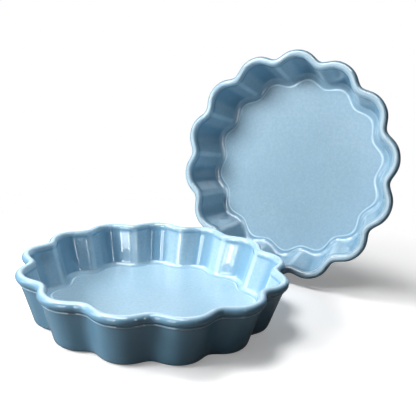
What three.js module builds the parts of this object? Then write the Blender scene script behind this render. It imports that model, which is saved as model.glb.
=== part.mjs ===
// A pair of flower-shaped stoneware cake pans: one lies flat, the other stands on its edge behind it.
// Each pan is one fired piece: a floor, a fluted wall that flares, and a rolled rim. Millimetres, +Z up.
import * as THREE from "three";

// Driving dimensions of a pan
const FRONT_PETALS = 13; // petals round the pan that lies flat
const REAR_PETALS = 14; // petals round the pan that stands on its edge
const RIM_RADIUS = 111; // mean radius of the wall's centre line at the middle of the rim bead
const BASE_RADIUS = 98; // mean radius of the wall's centre line at the table
const PETAL_DEPTH = 4.5; // how far a petal swells beyond the mean radius at the rim
const PAN_HEIGHT = 46.5;
const WALL_THICKNESS = 5;
const FLOOR_THICKNESS = 5;
const BEAD_RADIUS = 3.4; // rolled rim
const NECK_RADIUS = 2; // soft hollow on the outside, under the bead
const COVE_RADIUS = 6; // inside corner between the wall and the floor
const EDGE_RADIUS = 6; // outside corner between the wall and the table
const FOOT_WIDTH = 9; // bare ring that the pan stands on
const RECESS_DEPTH = 1; // the underside is drawn up inside the foot

// Driving dimensions of the pair, angles in degrees
const FRONT_SPIN = 11.7; // turn of the flat pan about its own axis
const REAR_SPIN = 13.1; // turn of the standing pan about its own axis
const REAR_LEAN = 82.3; // from lying flat to standing on its edge
const REAR_TURN = -30.7; // about the vertical, so that it faces the front left
const REAR_GAP = 27.5; // from the flat pan's rim to the plane of the standing pan's rim
const REAR_SIDE = 47; // sideways from the flat pan's centre, along the standing pan's rim

// Fineness of the solids
const COLUMNS_PER_PETAL = 8;
const COVE_STEPS = 4;
const BEAD_STEPS = 9;
const NECK_STEPS = 2;
const EDGE_STEPS = 4;

const { degToRad, clamp, lerp } = THREE.MathUtils;
const PAN_AXIS = new THREE.Vector3(0, 0, 1);
const DOWN = -Math.PI / 2; // direction in the section

// The wall's centre line and faces
const beadHeight = PAN_HEIGHT - BEAD_RADIUS;
const flare = (RIM_RADIUS - BASE_RADIUS) / beadHeight;
const wallAngle = Math.atan(flare);
const halfWallAcross = WALL_THICKNESS / 2 / Math.cos(wallAngle);
const floorTop = RECESS_DEPTH + FLOOR_THICKNESS;
const centreLine = (height) => BASE_RADIUS + flare * height;

// The bead is tangent to the inner face, so it stands proud of the wall on the outside only
const beadRadius = RIM_RADIUS - halfWallAcross + BEAD_RADIUS / Math.cos(wallAngle);
const outerReach = beadRadius + BEAD_RADIUS + PETAL_DEPTH;

// Points of the section hold a mean radius as x and a height as y
const sectionPoint = (radius, height) => new THREE.Vector2(radius, height);

function onCircle(centre, radius, angle) {
  return sectionPoint(centre.x + radius * Math.cos(angle), centre.y + radius * Math.sin(angle));
}

function arcPoints(centre, radius, from, to, steps) {
  const angles = Array.from({ length: steps + 1 }, (_, step) => lerp(from, to, step / steps));
  return angles.map((angle) => onCircle(centre, radius, angle));
}

// Half section of a pan, from the floor's edge over the rim to the edge of the underside's recess
function sectionPoints() {
  const coveHeight = floorTop + COVE_RADIUS;
  const coveRadius = centreLine(coveHeight) - halfWallAcross - COVE_RADIUS / Math.cos(wallAngle);
  const cove = arcPoints(sectionPoint(coveRadius, coveHeight), COVE_RADIUS, DOWN, -wallAngle, COVE_STEPS);

  // The neck arc touches the bead and the outer face
  const beadCentre = sectionPoint(beadRadius, beadHeight);
  const inward = Math.PI - wallAngle;
  const neckOut = WALL_THICKNESS - BEAD_RADIUS + NECK_RADIUS;
  const neckDown = Math.sqrt((BEAD_RADIUS + NECK_RADIUS) ** 2 - neckOut ** 2);
  const neckAngle = -wallAngle - Math.atan2(neckDown, neckOut);
  const neckCentre = onCircle(beadCentre, BEAD_RADIUS + NECK_RADIUS, neckAngle);
  const bead = arcPoints(beadCentre, BEAD_RADIUS, inward, neckAngle, BEAD_STEPS);
  const neck = arcPoints(neckCentre, NECK_RADIUS, neckAngle + Math.PI, inward, NECK_STEPS);

  const edgeRadius = centreLine(EDGE_RADIUS) + halfWallAcross - EDGE_RADIUS / Math.cos(wallAngle);
  const edge = arcPoints(sectionPoint(edgeRadius, EDGE_RADIUS), EDGE_RADIUS, -wallAngle, DOWN, EDGE_STEPS);
  const footInside = sectionPoint(edgeRadius - FOOT_WIDTH, 0);
  const recessEdge = sectionPoint(footInside.x - RECESS_DEPTH, RECESS_DEPTH);
  return [...cove, ...bead, ...neck.slice(1), ...edge, footInside, recessEdge];
}

// One level of the pan as a flower outline. Near the wall's centre line the surface keeps an even distance
// from it, as the cast wall does; further in, the outline shrinks towards the axis.
function flowerRing(petals, { x: radius, y: height }) {
  const offset = clamp(radius - centreLine(height), -WALL_THICKNESS, WALL_THICKNESS);
  const mean = radius - offset;
  const swell = (mean * PETAL_DEPTH) / RIM_RADIUS;
  const columns = petals * COLUMNS_PER_PETAL;
  return Array.from({ length: columns }, (_, column) => {
    const angle = (2 * Math.PI * column) / columns;
    const reach = mean + swell * Math.cos(petals * angle);
    const slope = -swell * petals * Math.sin(petals * angle);
    const normal = new THREE.Vector2(reach, -slope).normalize().multiplyScalar(offset);
    return new THREE.Vector3(reach + normal.x, normal.y, height).applyAxisAngle(PAN_AXIS, angle);
  });
}

// Lofts the rings into one closed skin, with a fan on the floor and one on the underside
function panGeometry(petals) {
  const rings = sectionPoints().map((point) => flowerRing(petals, point));
  const columns = rings[0].length;
  const underside = rings.length * columns + 1;
  const points = [new THREE.Vector3(0, 0, floorTop), ...rings.flat(), new THREE.Vector3(0, 0, RECESS_DEPTH)];
  const index = [];
  for (let column = 0; column < columns; column += 1) {
    const next = (column + 1) % columns;
    const at = (ring, side) => 1 + ring * columns + side;
    index.push(0, at(0, column), at(0, next));
    for (let ring = 0; ring + 1 < rings.length; ring += 1) {
      index.push(at(ring, column), at(ring + 1, column), at(ring + 1, next));
      index.push(at(ring, column), at(ring + 1, next), at(ring, next));
    }
    index.push(at(rings.length - 1, column), underside, at(rings.length - 1, next));
  }
  const geometry = new THREE.BufferGeometry().setFromPoints(points);
  geometry.setIndex(index);
  geometry.computeVertexNormals();
  return geometry;
}

function pan(name, petals, spin) {
  const glaze = new THREE.MeshStandardMaterial({ color: 0x8fb6d0, roughness: 0.15, metalness: 0 });
  const mesh = new THREE.Mesh(panGeometry(petals), glaze);
  mesh.name = name;
  mesh.rotation.z = degToRad(spin);
  return mesh;
}

const pair = new THREE.Group();
pair.add(pan("front_pan", FRONT_PETALS, FRONT_SPIN));

// The standing pan leans inside a station that is turned about the flat pan's axis
const rearPan = pan("rear_pan", REAR_PETALS, REAR_SPIN);
const leaning = new THREE.Group();
leaning.add(rearPan);
leaning.rotation.x = degToRad(REAR_LEAN);
leaning.position.set(REAR_SIDE, outerReach + REAR_GAP + PAN_HEIGHT * Math.sin(leaning.rotation.x), 0);
const station = new THREE.Group();
station.rotation.z = degToRad(REAR_TURN);
station.add(leaning);
pair.add(station);

// It is set down until its lowest petal touches the table
pair.updateMatrixWorld(true);
leaning.position.z -= new THREE.Box3().setFromObject(rearPan, true).min.z;
pair.updateMatrixWorld(true);

// The pair's origin is on the table, under the middle of both pans
const middle = new THREE.Box3().setFromObject(pair, true).getCenter(new THREE.Vector3());
pair.position.set(-middle.x, -middle.y, 0);
pair.updateMatrixWorld(true);

export default pair;
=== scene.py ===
# %% [markdown]
# A pair of flower-shaped cake pans
#
# Two glazed stoneware pans stand on a white table: one lies flat, the other stands on its edge behind it.
# The measured solids come in first and stay as the fixed frame. Everything below is modelled to their size,
# in metres, so that each new piece lands where its solid is.

# %% Load the frame
import math

import bmesh
import bpy
from mathutils import Matrix, Vector


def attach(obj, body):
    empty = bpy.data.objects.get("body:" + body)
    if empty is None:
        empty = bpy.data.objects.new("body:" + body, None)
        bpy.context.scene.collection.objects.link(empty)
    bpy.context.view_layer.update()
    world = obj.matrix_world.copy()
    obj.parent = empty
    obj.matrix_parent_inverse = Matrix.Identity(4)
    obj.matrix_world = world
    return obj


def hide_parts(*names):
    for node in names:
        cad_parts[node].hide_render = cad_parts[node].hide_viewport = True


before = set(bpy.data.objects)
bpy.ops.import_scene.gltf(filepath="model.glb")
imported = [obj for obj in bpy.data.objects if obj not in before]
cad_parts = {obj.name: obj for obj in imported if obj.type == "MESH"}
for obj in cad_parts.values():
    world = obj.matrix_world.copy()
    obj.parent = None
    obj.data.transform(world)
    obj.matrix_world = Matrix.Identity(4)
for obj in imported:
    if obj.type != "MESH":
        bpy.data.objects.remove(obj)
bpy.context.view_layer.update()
MM = 0.001

# %% [markdown]
# The camera
#
# A photograph fixes where its camera stood. The rims, floors and foot of both pans were matched to the
# picture, which gave a lens of about 49 mm, half a metre away and a little above the rims, with a slight
# roll. The camera's matrix takes its own right, up and backward directions as columns.

# %% Camera
RIGHT = Vector((0.998042, 0.016151, 0.060431))
UP = Vector((-0.062552, 0.257695, 0.964199))
BACK = RIGHT.cross(UP)
VIEWPOINT = Vector((-0.01055, -0.50928, 0.22260))
SENSOR_WIDTH = 36.0
FOCAL_LENGTH = 48.7

lens = bpy.data.cameras.new("photo_lens")
lens.sensor_width = SENSOR_WIDTH
lens.lens = FOCAL_LENGTH
camera = bpy.data.objects.new("photo_camera", lens)
bpy.context.scene.collection.objects.link(camera)
camera.matrix_world = Matrix.Translation(VIEWPOINT) @ Matrix((RIGHT, UP, BACK)).transposed().to_4x4()
bpy.context.scene.camera = camera
print("camera looks along", [round(x, 3) for x in -BACK])

# %% [markdown]
# The sizes of a pan
#
# A pan is one casting: a floor, a wall that flares, and a rolled rim. The wall runs along a flower outline,
# which swells and shrinks like a wave, once for each petal. The two pans share every size but the number of
# petals and the depth of the wave, which is a little shallower on the standing pan. So the sizes are named
# once. The last three are too fine for the measured solids: the lip of the floor, the ridge under the rim,
# and how far the rim rolls inwards beyond the wall.

# %% Sizes
PETALS = {"front_pan_glazed": 13, "rear_pan_glazed": 14}
RIM_RADIUS = 111 * MM
BASE_RADIUS = 98 * MM
PETAL_DEPTH = {13: 4.5 * MM, 14: 4.1 * MM}
PETAL_SHARE = {petals: depth / RIM_RADIUS for petals, depth in PETAL_DEPTH.items()}
ROUND_CROWN = 0.15
PAN_HEIGHT = 46.5 * MM
WALL = 5 * MM
FLOOR_TOP = 6 * MM
BEAD = 3.4 * MM
COVE = 6 * MM
EDGE = 6 * MM
FOOT_WIDTH = 9 * MM
RECESS = 1 * MM
LIP = 0.7 * MM
RIDGE = 0.55 * MM
ROLL = 0.5 * MM

bead_height = PAN_HEIGHT - BEAD
flare = (RIM_RADIUS - BASE_RADIUS) / bead_height
lean_of_wall = math.atan(flare)
half_across = WALL / 2 / math.cos(lean_of_wall)
bead_radius = RIM_RADIUS - half_across + BEAD / math.cos(lean_of_wall)


def centre_line(height):
    return BASE_RADIUS + flare * height


print("wall leans", round(math.degrees(lean_of_wall), 1), "degrees")
print("bead centre at", round(bead_radius / MM, 1), "mm")

# %% [markdown]
# The section as a list of rings
#
# Cutting the pan in half shows its section. The floor ends in a soft lip, because the mould leaves a
# shallow groove at the foot of the wall. The wall rises out of this groove in a hollow curve, up to the
# round bead of the rim. The bead rolls a little further inwards than the wall, which leaves a fine shadow
# line below it. Outside, a fine ridge runs along under the bead, and the wall ends in a rounded edge and a
# foot ring.
#
# Each point of the section becomes one ring of the mesh, and the middle of floor and underside is left open
# as a round hole. A subdivision surface pulls a cage inwards on curves, so the points of an arc are set a
# little outside the arc that they should give. The levels are heights above the table and the ends are
# distances from the groove, both in millimetres.

# %% Section
DOWN = -math.pi / 2
HOLE = 45 * MM
FLOOR_ENDS = (8, 3.2, 2.2)
LIP_END = 1.3
INNER_LEVELS = (16, 26, 36, 39.6)
RIDGE_LEVELS = (37.8, 37.4, 36.6, 36.1)
OUTER_LEVELS = (34.9, 28, 18, 9)
BEAD_START = math.pi - lean_of_wall + math.radians(25)
BEAD_END = -lean_of_wall - math.radians(60)


def cage_gain(turn):
    return 6 / (4 + 2 * math.cos(turn))


def arc(radius, height, size, start, end, steps):
    turn = (end - start) / steps
    reach = size * cage_gain(turn)
    angles = [start + turn * step for step in range(steps + 1)]
    return [(radius + reach * math.cos(a), height + reach * math.sin(a)) for a in angles]


def along_wall(side, level, proud=0.0):
    return (centre_line(level * MM) + side * (half_across + proud), level * MM)


def inside_rings():
    cove_height = FLOOR_TOP - LIP + COVE
    cove_radius = centre_line(cove_height) - half_across - COVE / math.cos(lean_of_wall)
    floor = [(HOLE, FLOOR_TOP)] + [(cove_radius - end * MM, FLOOR_TOP) for end in FLOOR_ENDS]
    lip = [(cove_radius - LIP_END * MM, FLOOR_TOP - 0.75 * LIP)]
    cove = arc(cove_radius, cove_height, COVE, DOWN, -lean_of_wall, steps=4)
    return floor + lip + cove + [along_wall(-1, level) for level in INNER_LEVELS]


def outside_rings():
    bead = arc(bead_radius - ROLL, bead_height - ROLL, BEAD + ROLL, BEAD_START, BEAD_END, steps=7)
    ridge = [along_wall(1, level, proud) for level, proud in zip(RIDGE_LEVELS, (0, RIDGE, RIDGE, 0))]
    wall = [along_wall(1, level) for level in OUTER_LEVELS]
    edge_radius = centre_line(EDGE) + half_across - EDGE / math.cos(lean_of_wall)
    edge = arc(edge_radius, EDGE, EDGE, -lean_of_wall, DOWN, steps=3)
    foot_inside = edge_radius - FOOT_WIDTH
    foot = [(edge_radius - 1.5 * MM, 0), (foot_inside + 1 * MM, 0), (foot_inside, 0)]
    recess = [(foot_inside - RECESS, RECESS), (foot_inside - 3 * MM, RECESS), (HOLE, RECESS)]
    return bead + ridge + wall + [(radius, max(height, 0)) for radius, height in edge] + foot + recess


SECTION = inside_rings() + outside_rings()
print(len(SECTION), "rings from the floor over the rim to the underside")

# %% [markdown]
# Even walls on a wavy outline
#
# If an outline is only scaled, the wall gets thin where the outline runs aslant. Clay has an even wall, so
# inner and outer faces keep their distance square to the outline. Only a few different distances from the
# axis occur in a ring, because every petal is alike: they are called wave steps here. A second, weaker wave
# at twice the pace is taken off the first. It rounds the crowns of the petals and sharpens the valleys
# between them.

# %% Wave steps
CAGE_COLUMNS = 10
WAVE_STEPS = [math.cos(2 * math.pi * step / CAGE_COLUMNS) for step in range(CAGE_COLUMNS // 2 + 1)]
WAVE_GAIN = cage_gain(2 * math.pi / CAGE_COLUMNS)


def wave_radius(petals, wave, radius, height):
    offset = max(-WALL, min(WALL, radius - centre_line(height)))
    mean = radius - offset
    swell = mean * PETAL_SHARE[petals] * WAVE_GAIN
    reach = mean + swell * (wave - ROUND_CROWN * (2 * wave * wave - 1))
    slope = swell * petals * math.sqrt(max(0, 1 - wave * wave)) * (1 - 4 * ROUND_CROWN * wave) / reach
    return reach + offset * math.sqrt(1 + slope * slope)


print("wave steps", [round(wave, 2) for wave in WAVE_STEPS])

# %% [markdown]
# Drawing one petal
#
# All petals of a pan are alike, so one is drawn and then copied round the axis. It starts as the short
# piece of a circle that one petal covers. This line is extruded again and again, and each new row is scaled
# step by step into its place, like clay pulled from the floor up over the rim and down the outside. By hand
# this is E to extrude, S to scale and G Z to lift.

# %% Helpers to pick and shape
SAME_WAVE = 0.01


def pick(piece):
    bpy.ops.object.select_all(action="DESELECT")
    piece.select_set(True)
    bpy.context.view_layer.objects.active = piece


def select_points(pan, test):
    shape = bmesh.from_edit_mesh(pan.data)
    for part in (*shape.faces, *shape.edges):
        part.select = False
    for vert in shape.verts:
        vert.select = test(vert)
    shape.select_flush(True)
    bmesh.update_edit_mesh(pan.data)


def angle_of(point):
    return math.atan2(point.y, point.x)


def wave_of(point, petals):
    return math.cos(petals * angle_of(point))


def shape_row(pan, petals, row, start, goal):
    for wave in WAVE_STEPS:
        before = wave_radius(petals, wave, *start) if start else goal[0]
        size = wave_radius(petals, wave, *goal) / before
        select_points(pan, lambda vert: vert.index in row
                      and abs(wave_of(vert.co, petals) - wave) < SAME_WAVE)
        bpy.ops.transform.resize(value=(size, size, 1), center_override=(0, 0, 0))


print("a row takes", len(WAVE_STEPS), "scalings")

# %% Draw a petal of each pan
def draw_petal(name, petals):
    first_radius, first_height = SECTION[0]
    half_petal = 1.001 * math.pi / petals
    bpy.ops.object.select_all(action="DESELECT")
    bpy.ops.mesh.primitive_circle_add(vertices=petals * CAGE_COLUMNS, radius=first_radius,
                                      fill_type="NOTHING", location=(0, 0, first_height),
                                      rotation=(0, 0, math.pi / 2))
    pan = bpy.context.object
    pan.name = name
    bpy.ops.object.transform_apply(location=True, rotation=True, scale=True)
    bpy.ops.object.mode_set(mode="EDIT")
    bpy.ops.mesh.select_mode(type="VERT")
    select_points(pan, lambda vert: abs(angle_of(vert.co)) > half_petal)
    bpy.ops.mesh.delete(type="VERT")
    row = set(range(CAGE_COLUMNS + 1))
    shape_row(pan, petals, row, None, SECTION[0])
    for start, goal in zip(SECTION, SECTION[1:]):
        select_points(pan, lambda vert: vert.index in row)
        bpy.ops.mesh.extrude_edges_move()
        row = {vert.index for vert in bmesh.from_edit_mesh(pan.data).verts if vert.select}
        shape_row(pan, petals, row, start, goal)
        select_points(pan, lambda vert: vert.index in row)
        bpy.ops.transform.translate(value=(0, 0, goal[1] - start[1]))
    bpy.ops.object.mode_set(mode="OBJECT")
    return pan


pans = {name: draw_petal(name, petals) for name, petals in PETALS.items()}
for name, pan in pans.items():
    print(name, "petal with", len(pan.data.vertices), "points")

# %% [markdown]
# From one petal to a flower
#
# The spin tool with its duplicate option copies the petal round the axis. Neighbours share their border, so
# the doubled points are merged. The middle of the floor and of the underside stays open for now.

# %% Copy the petals round
MERGE_DISTANCE = 0.01 * MM


def copy_petals(pan, petals):
    pick(pan)
    bpy.ops.object.mode_set(mode="EDIT")
    bpy.ops.mesh.select_all(action="SELECT")
    bpy.ops.mesh.spin(steps=petals - 1, dupli=True, angle=2 * math.pi * (petals - 1) / petals,
                      center=(0, 0, 0), axis=(0, 0, 1))
    bpy.ops.mesh.select_all(action="SELECT")
    bpy.ops.mesh.remove_doubles(threshold=MERGE_DISTANCE)
    bpy.ops.object.mode_set(mode="OBJECT")


for name, pan in pans.items():
    copy_petals(pan, PETALS[name])
    print(name, len(pan.data.vertices), "points,", [round(x / MM, 1) for x in pan.dimensions], "mm")

# %% [markdown]
# Smooth clay
#
# A subdivision surface turns the cage into the soft, continuous skin of cast clay. It is applied, so that
# the fine mesh itself can be coloured and exported. The two round holes are filled only now: they are flat,
# and subdividing a face with so many sides would take minutes and gain nothing.

# %% Smooth both pans
SMOOTH_LEVELS = 2

for name, pan in pans.items():
    pick(pan)
    smooth = pan.modifiers.new("soft_clay", "SUBSURF")
    smooth.levels = SMOOTH_LEVELS
    smooth.render_levels = SMOOTH_LEVELS
    bpy.ops.object.modifier_apply(modifier=smooth.name)
    bpy.ops.object.mode_set(mode="EDIT")
    bpy.ops.mesh.select_all(action="SELECT")
    bpy.ops.mesh.fill_holes(sides=0)
    bpy.ops.mesh.select_all(action="SELECT")
    bpy.ops.mesh.normals_make_consistent(inside=False)
    bpy.ops.object.mode_set(mode="OBJECT")
    bpy.ops.object.shade_smooth()
    print(name, len(pan.data.polygons), "faces,", [round(x / MM, 1) for x in pan.dimensions], "mm")

# %% [markdown]
# Where the glaze runs thin or thick, with painted highlights and painted shade
#
# Molten glaze creeps off high edges and gathers in hollows. So it is pale on the crest of the rim, on the
# lip of the floor, on the ridge under the rim and on the folds between the flutes, and these pale marks are
# painted highlights too. It is deep in the flutes, in the groove of the floor, in the line under the rim
# and all over the outside, and this deep glaze is painted shade too: it darkens the flutes, the shadow line
# under the rim, the rim's outer flank and the whole outside. The foot is wiped clean before firing, because
# it would stick to the kiln shelf. The floors mirror nothing sharply in the photograph, so they get a mark
# of their own for a satin gloss.
#
# All these places follow the section, so they are written down now, while each pan still lies at the
# origin: as numbers on the points of the mesh, which the glaze reads later. A ramp lets each mark fade in
# between two heights or distances, given in millimetres.

# %% Glaze marks
LIP_EDGE = SECTION[3][0] / MM
GROOVE_RADIUS, GROOVE_HEIGHT = (size / MM for size in SECTION[5])
RECESS_EDGE = SECTION[-3][0] / MM
FOOT_START = SECTION[-2][0] / MM + 2.5
ABOVE_EDGE, BELOW_LIP, ABOVE_COVE = 3, 7, 8
RIM_CREST = (46.0, 46.45)
# The outer flank of the rim and the outer wall get deep glaze as painted shade.
SHADED_RIM_FLANK = (46.45, 44.9)
SHADED_OUTER_WALL = (44.0, 36.0)
INNER_WALL = (44.0, 41.5)
# The line under the bead is painted darker: painted shade.
SHADE_LINE_UNDER_BEAD = 41.2
RIDGE_LINE = 36.8


def ramp(value, start, end):
    share = max(0.0, min(1.0, (value - start) / (end - start)))
    return share * share * (3 - 2 * share)


def inside_marks(radius, height, wave):
    # The pale crest of the rim is also a painted highlight.
    thin_and_highlight = 0.5 * ramp(height, *RIM_CREST)
    pooled_and_shade = 0.5 * ramp(math.hypot(radius - GROOVE_RADIUS, height - GROOVE_HEIGHT), 5.0, 0.5)
    if height < BELOW_LIP:
        # The pale lip line is also a painted highlight, standing in for glints on the lip.
        thin_and_highlight = max(thin_and_highlight, ramp(abs(radius - LIP_EDGE), 1.5, 0.2))
    if height > ABOVE_COVE:
        on_wall = ramp(height, *INNER_WALL)
        shade_under_bead = ramp(abs(height - SHADE_LINE_UNDER_BEAD), 1.7, 0.2)
        # The pale folds between the flutes are also painted highlights.
        thin_and_highlight = max(thin_and_highlight, 0.5 * on_wall * ramp(-wave, 0.88, 1.0))
        # Deep glaze in the flutes and in the line under the bead is painted shade as well as pooling.
        pooled_and_shade = max(pooled_and_shade, 0.8 * on_wall * ramp(wave, -0.1, 0.8), 0.8 * shade_under_bead)
    satin = ramp(LIP_EDGE - radius, 1.0, 5.0)
    return {"thin_glaze_and_highlight": thin_and_highlight, "pooled_glaze_and_shade": pooled_and_shade, "bare_foot": 0.0, "satin_floor": satin}


def outside_marks(radius, height):
    # The pale crest and ridge line outside are also painted highlights.
    thin_and_highlight = max(0.5 * ramp(height, *RIM_CREST), 0.6 * ramp(abs(height - RIDGE_LINE), 0.9, 0.1))
    # The deep rim flank and the deep outer wall are painted shade.
    pooled_and_shade = max(0.95 * ramp(height, *SHADED_RIM_FLANK), ramp(height, *SHADED_OUTER_WALL))
    if radius < RECESS_EDGE:
        pooled_and_shade = 0.2
    bare = ramp(height, 1.3, 0.6) if radius > FOOT_START else 0.0
    return {"thin_glaze_and_highlight": thin_and_highlight, "pooled_glaze_and_shade": pooled_and_shade, "bare_foot": bare, "satin_floor": 0.0}


def glaze_marks(point, petals):
    wave = wave_of(point, petals)
    radius, height = point.xy.length / (1 + PETAL_SHARE[petals] * wave) / MM, point.z / MM
    if radius < centre_line(point.z) / MM and height > ABOVE_EDGE:
        return inside_marks(radius, height, wave)
    return outside_marks(radius, height)


for name, pan in pans.items():
    marks = [glaze_marks(vert.co, PETALS[name]) for vert in pan.data.vertices]
    for mark in marks[0]:
        layer = pan.data.attributes.new(mark, "FLOAT", "POINT")
        layer.data.foreach_set("value", [row[mark] for row in marks])
        print(name, mark, "on", sum(row[mark] > 0.5 for row in marks), "of", len(marks), "points")

# %% [markdown]
# Setting the pans down
#
# The flat pan is only turned about its own axis. The other is tipped up on its edge, turned to face the
# front left, and lowered until a petal touches the table. The places come from the solids, in millimetres
# and degrees. Only the standing pan is set 0.8 mm lower than its solid, because its shallower petals would
# end above the table. Each place is applied to the mesh, so that both objects stay at the origin.

# %% Places
PLACES = {
    "front_pan_glazed": {"place": (-53.896, -38.653, 0), "turn": 0, "lean": 0, "spin": 11.7},
    "rear_pan_glazed": {"place": (85.267, 103.664, 112.152), "turn": -30.7, "lean": 82.3, "spin": 13.1},
}


def turned(degrees, axis):
    return Matrix.Rotation(math.radians(degrees), 4, axis)


for name, pose in PLACES.items():
    pan = pans[name]
    turns = turned(pose["turn"], "Z") @ turned(pose["lean"], "X") @ turned(pose["spin"], "Z")
    pan.matrix_world = Matrix.Translation(Vector(pose["place"]) * MM) @ turns
    pick(pan)
    bpy.ops.object.transform_apply(location=True, rotation=True, scale=True)
    heights = [vert.co.z for vert in pan.data.vertices]
    print(name, "stands from", round(min(heights) / MM, 2), "to", round(max(heights) / MM, 2), "mm")

# %% [markdown]
# The glaze
#
# The glaze is glass melted onto clay: a clear gloss over a soft grey blue. Up close its colour is never
# even. Broad clouds come from its varying depth, a fine mottle and paler flecks from the pigment. The marks
# from the step above make it paler on edges and deeper in hollows, as thin and pooled glaze, and also as
# painted highlights on the edges and painted shade in the hollows and on the outside. The pale lines are
# broken up by a noise, because glaze does not thin out evenly. All patterns read object coordinates, so
# they are fixed in the clay.

# %% Node helpers
def noise(tree, place, scale, detail):
    node = tree.nodes.new("ShaderNodeTexNoise")
    node.inputs["Scale"].default_value = scale
    node.inputs["Detail"].default_value = detail
    tree.links.new(place.outputs["Object"], node.inputs["Vector"])
    return node.outputs["Fac"]


def mark_on_mesh(tree, name):
    node = tree.nodes.new("ShaderNodeAttribute")
    node.attribute_name = name
    return node.outputs["Fac"]


def remap(tree, value, low, high, to_low, to_high):
    node = tree.nodes.new("ShaderNodeMapRange")
    for socket, number in (("From Min", low), ("From Max", high), ("To Min", to_low), ("To Max", to_high)):
        node.inputs[socket].default_value = number
    tree.links.new(value, node.inputs["Value"])
    return node.outputs["Result"]


def combine(tree, operation, first, second):
    node = tree.nodes.new("ShaderNodeMath")
    node.operation = operation
    for socket, value in zip(node.inputs, (first, second)):
        if isinstance(value, float):
            socket.default_value = value
        else:
            tree.links.new(value, socket)
    return node.outputs["Value"]


def tint(tree, share, below, above):
    node = tree.nodes.new("ShaderNodeMix")
    node.data_type = "RGBA"
    tree.links.new(share, node.inputs[0])
    for socket, value in ((node.inputs[6], below), (node.inputs[7], above)):
        if isinstance(value, tuple):
            socket.default_value = (*value, 1)
        else:
            tree.links.new(value, socket)
    return node.outputs[2]


print("helpers for noise, marks, ranges and tints")

# %% Glaze colour
CLOUD_BLUES = ((0.318, 0.478, 0.592), (0.360, 0.525, 0.638))
MOTTLE_BLUE = (0.195, 0.370, 0.500)
FLECK_BLUE = (0.46, 0.65, 0.78)
POOLED_AND_SHADE_BLUE = (0.125, 0.290, 0.430)
THIN_AND_HIGHLIGHT_BLUE = (0.680, 0.860, 0.955)

glaze = bpy.data.materials.new("blue_glaze")
glaze.use_nodes = True
tree = glaze.node_tree
shader = tree.nodes["Principled BSDF"]
place = tree.nodes.new("ShaderNodeTexCoord")

clouds = remap(tree, noise(tree, place, scale=16.0, detail=2.0), 0.3, 0.7, 0.0, 1.0)
blue = tint(tree, clouds, *CLOUD_BLUES)
mottle = remap(tree, noise(tree, place, scale=330.0, detail=5.0), 0.35, 0.65, 0.0, 0.30)
blue = tint(tree, mottle, blue, MOTTLE_BLUE)
flecks = remap(tree, noise(tree, place, scale=900.0, detail=2.0), 0.58, 0.70, 0.0, 0.35)
blue = tint(tree, flecks, blue, FLECK_BLUE)
# The deep blue is pooled glaze and also painted shade in the flutes, under the rim and on the outside.
pooled_and_shade = combine(tree, "MULTIPLY", mark_on_mesh(tree, "pooled_glaze_and_shade"), 0.90)
blue = tint(tree, pooled_and_shade, blue, POOLED_AND_SHADE_BLUE)
# The pale blue is thin glaze and also a painted highlight on the crest, lip, ridge and folds.
broken = remap(tree, noise(tree, place, scale=55.0, detail=2.0), 0.35, 0.65, 0.60, 1.0)
thin_and_highlight = combine(tree, "MULTIPLY", mark_on_mesh(tree, "thin_glaze_and_highlight"), broken)
blue = tint(tree, thin_and_highlight, blue, THIN_AND_HIGHLIGHT_BLUE)
print("glaze colours", CLOUD_BLUES)

# %% [markdown]
# The bare foot and the gloss
#
# On the wiped ring the raw clay shows: brown, gritty and dull. The line between glaze and clay is never
# clean-cut, so a noise is added to the foot's mark, and a steep range turns the sum into a ragged edge. The
# roughness then follows from the marks: almost mirror-smooth on walls and rims, satin on the floors, and
# dull on the clay.

# %% Bare foot and gloss
CLAY_BROWNS = ((0.44, 0.31, 0.21), (0.60, 0.46, 0.34))
CLAY_ROUGHNESS = 0.75
FLOOR_ROUGHNESS = 0.20
GLAZE_IOR = 1.55

foot_edge = remap(tree, noise(tree, place, scale=240.0, detail=2.0), 0.3, 0.7, -0.25, 0.25)
bare = combine(tree, "ADD", mark_on_mesh(tree, "bare_foot"), foot_edge)
bare = remap(tree, bare, 0.45, 0.60, 0.0, 1.0)
grit = remap(tree, noise(tree, place, scale=1500.0, detail=3.0), 0.35, 0.65, 0.0, 1.0)
clay = tint(tree, grit, *CLAY_BROWNS)
tree.links.new(tint(tree, bare, blue, clay), shader.inputs["Base Color"])
gloss = remap(tree, noise(tree, place, scale=60.0, detail=2.0), 0.3, 0.7, 0.035, 0.07)
satin = combine(tree, "MULTIPLY", mark_on_mesh(tree, "satin_floor"), FLOOR_ROUGHNESS)
rough = combine(tree, "MAXIMUM", combine(tree, "MULTIPLY", bare, CLAY_ROUGHNESS), satin)
tree.links.new(combine(tree, "MAXIMUM", gloss, rough), shader.inputs["Roughness"])
shader.inputs["IOR"].default_value = GLAZE_IOR
print("bare clay on the foot")

# %% [markdown]
# The skin of the glaze
#
# Melted glass stays a little wavy. A broad ripple and a faint orange peel are given as a bump of a tenth of
# a millimetre. That is too shallow to be modelled, but it keeps the highlights from looking machine-made.

# %% Glaze bump
BUMP_DEPTH = 0.1 * MM
PEEL_SHARE = 0.05

ripple = noise(tree, place, scale=70.0, detail=1.0)
peel = combine(tree, "MULTIPLY", noise(tree, place, scale=420.0, detail=2.0), PEEL_SHARE)
bump = tree.nodes.new("ShaderNodeBump")
bump.inputs["Strength"].default_value = 1.0
bump.inputs["Distance"].default_value = BUMP_DEPTH
tree.links.new(combine(tree, "ADD", ripple, peel), bump.inputs["Height"])
tree.links.new(bump.outputs["Normal"], shader.inputs["Normal"])
for pan in pans.values():
    pan.data.materials.clear()
    pan.data.materials.append(glaze)
print("glaze on", len(pans), "pans with", len(tree.nodes), "nodes")

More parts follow.
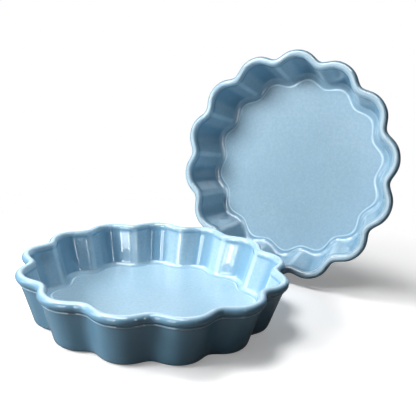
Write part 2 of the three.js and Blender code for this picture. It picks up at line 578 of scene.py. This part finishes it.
# %% [markdown]
# The white table
#
# The table and the background are white, and only the soft shadow tells them apart. To the camera the table
# is white paper with a little light of its own, and further out it is all white, so no horizon shows.
# Mirror images show it dimmed. For the light that bounces back onto the pans it is dark, as if black cards
# lay around: that keeps the outside of the flat pan as deep in tone as it is in the photograph.

# %% Table
TABLE_SIZE = 8
JUST_BELOW = -0.2 * MM
PAPER_WHITE = 0.85
PAPER_GLOW = 0.26
FADE_TO_WHITE = (0.17, 0.37)
BLACK_CARD = 0.12
MIRRORED_PAPER = 0.12

bpy.ops.object.select_all(action="DESELECT")
bpy.ops.mesh.primitive_plane_add(size=TABLE_SIZE, location=(0, 0, JUST_BELOW))
table = bpy.context.object
table.name = "table"
bpy.ops.object.transform_apply(location=True, rotation=True, scale=True)
paper = bpy.data.materials.new("white_paper")
paper.use_nodes = True
tree = paper.node_tree
tree.nodes.remove(tree.nodes["Principled BSDF"])


def plain_shader(tree, kind, level, strength=None):
    node = tree.nodes.new(kind)
    node.inputs["Color"].default_value = (level, level, level, 1)
    if strength is not None:
        node.inputs["Strength"].default_value = strength
    return node.outputs[0]


def mix_shaders(tree, share, below, above):
    node = tree.nodes.new("ShaderNodeMixShader")
    tree.links.new(share, node.inputs[0])
    tree.links.new(below, node.inputs[1])
    tree.links.new(above, node.inputs[2])
    return node.outputs[0]


def seen(tree, in_mirrors):
    path = tree.nodes.new("ShaderNodeLightPath")
    mirrored = combine(tree, "MAXIMUM", path.outputs["Is Glossy Ray"], path.outputs["Is Transmission Ray"])
    dimmed = combine(tree, "MULTIPLY", mirrored, in_mirrors)
    return combine(tree, "MAXIMUM", path.outputs["Is Camera Ray"], dimmed)


shade = tree.nodes.new("ShaderNodeAddShader")
tree.links.new(plain_shader(tree, "ShaderNodeBsdfDiffuse", PAPER_WHITE), shade.inputs[0])
tree.links.new(plain_shader(tree, "ShaderNodeEmission", 1.0, PAPER_GLOW), shade.inputs[1])
place = tree.nodes.new("ShaderNodeTexCoord")
distance = tree.nodes.new("ShaderNodeVectorMath")
distance.operation = "LENGTH"
tree.links.new(place.outputs["Object"], distance.inputs[0])
fade = remap(tree, distance.outputs["Value"], *FADE_TO_WHITE, 0.0, 1.0)
white = mix_shaders(tree, fade, shade.outputs[0], plain_shader(tree, "ShaderNodeEmission", 1.0, 1.0))
dark = plain_shader(tree, "ShaderNodeBsdfDiffuse", BLACK_CARD)
surface = mix_shaders(tree, seen(tree, MIRRORED_PAPER), dark, white)
tree.links.new(surface, tree.nodes["Material Output"].inputs["Surface"])
table.data.materials.append(paper)
print("table", [round(x, 2) for x in table.dimensions])

# %% [markdown]
# Studio light
#
# Glossy ware is lit with two kinds of lamps. The first kind lights the clay and is hidden from mirror
# images. The key softbox stands high on the left: it lights the floors, leaves the walls that face right in
# shade and throws the soft shadow to the right. A box overhead and two weak fills open up the rest. Black
# cards would keep the box off the standing pan and the fill from behind off the table, and light linking
# does the same here. The second kind only shows in the glaze, as white cards do in a studio. Its panels
# give the walls their sheen, and its narrow strips are mirrored as white lines along the rims and flutes.
#
# Each lamp has a place, a point that it aims at, a width and height, all in metres, and a power in watts.

# %% Lights
CLAY_LAMPS = {
    "key_softbox": ((-1.22, -0.42, 0.82), (0, 0, 0.03), (0.8, 0.45), 29),
    "top_softbox": ((-0.43, 0.08, 1.43), (0, 0, 0.03), (0.5, 0.5), 16),
    "front_left_fill": ((-1.02, -0.92, 0.64), (0, 0, 0.06), (0.6, 0.6), 3),
    "back_fill": ((0.55, 1.30, 0.45), (0.05, 0.05, 0.08), (0.8, 0.6), 10),
}
GLAZE_LAMPS = {
    "key_glint": ((-1.20, -0.50, 0.80), (0, 0, 0.03), (0.32, 0.32), 6),
    "top_panel": ((-0.30, -0.42, 1.40), (0, 0, 0.05), (1.4, 0.6), 32),
    "left_panel": ((-0.98, 0.05, 1.28), (0, 0, 0.05), (0.7, 0.7), 14),
    "window": ((-1.44, -0.25, 0.45), (0, 0, 0.05), (0.55, 0.3), 5),
    "front_panel": ((-0.60, -1.27, 0.42), (0, 0, 0.05), (0.4, 0.9), 7),
    "front_strip": ((-0.40, -1.15, 0.45), (-0.05, 0, 0.05), (0.05, 0.6), 1.5),
    "left_strip": ((-0.70, -1.0, 0.45), (-0.05, 0, 0.05), (0.05, 0.6), 1.5),
    "right_strip": ((0.75, -0.9, 0.45), (-0.05, 0, 0.05), (0.05, 0.6), 1.5),
}
LIT_PIECES = {
    "top_softbox": (pans["front_pan_glazed"], table),
    "back_fill": tuple(pans.values()),
}


def softbox(name, place, aim, size, power):
    light = bpy.data.lights.new(name, "AREA")
    light.shape = "RECTANGLE"
    light.size, light.size_y = size
    light.energy = power
    lamp = bpy.data.objects.new(name, light)
    bpy.context.scene.collection.objects.link(lamp)
    lamp.location = place
    lamp.rotation_euler = (Vector(aim) - Vector(place)).to_track_quat("-Z", "Y").to_euler()
    return lamp


def light_only(lamp, pieces):
    chosen = bpy.data.collections.new(lamp.name + "_receivers")
    for piece in pieces:
        chosen.objects.link(piece)
    lamp.light_linking.receiver_collection = chosen


for name, settings in CLAY_LAMPS.items():
    lamp = softbox(name, *settings)
    lamp.visible_glossy = False
    if name in LIT_PIECES:
        light_only(lamp, LIT_PIECES[name])
for name, settings in GLAZE_LAMPS.items():
    softbox(name, *settings).visible_diffuse = False

# %% [markdown]
# The room
#
# The backdrop is white, but the room around the lamps is dark. So the camera sees plain white. Mirrored in
# the glaze, the room is bright overhead and to the left, and dim elsewhere. As a light on the pans it is
# nearly black, which leaves the shadows to the lamps. The standard view transform keeps the white of the
# paper white.

# %% World
BRIGHT_SIDE = (-0.35, 0.10, 0.90)
ROOM_LEVELS = (0.10, 1.0)
ROOM_LIGHT = 0.03

world = bpy.data.worlds.new("studio")
bpy.context.scene.world = world
world.use_nodes = True
tree = world.node_tree
tree.nodes["Background"].inputs["Color"].default_value = (1, 1, 1, 1)
place = tree.nodes.new("ShaderNodeTexCoord")
towards_bright = tree.nodes.new("ShaderNodeVectorMath")
towards_bright.operation = "DOT_PRODUCT"
towards_bright.inputs[1].default_value = BRIGHT_SIDE
tree.links.new(place.outputs["Generated"], towards_bright.inputs[0])
room = remap(tree, towards_bright.outputs["Value"], 0.2, 0.8, *ROOM_LEVELS)
level = combine(tree, "MAXIMUM", seen(tree, room), ROOM_LIGHT)
tree.links.new(level, tree.nodes["Background"].inputs["Strength"])
bpy.context.scene.view_settings.view_transform = "Standard"
print("world is white to the camera and dim for the pans")

# %% [markdown]
# Handing over
#
# Each glazed pan takes the place of its solid, which is hidden, and rides on the solid's body, so a lifted
# pan takes its glaze along.

# %% Finish
for name, body in (("front_pan_glazed", "front"), ("rear_pan_glazed", "rear")):
    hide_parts(name.replace("_glazed", ""))
    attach(pans[name], body)
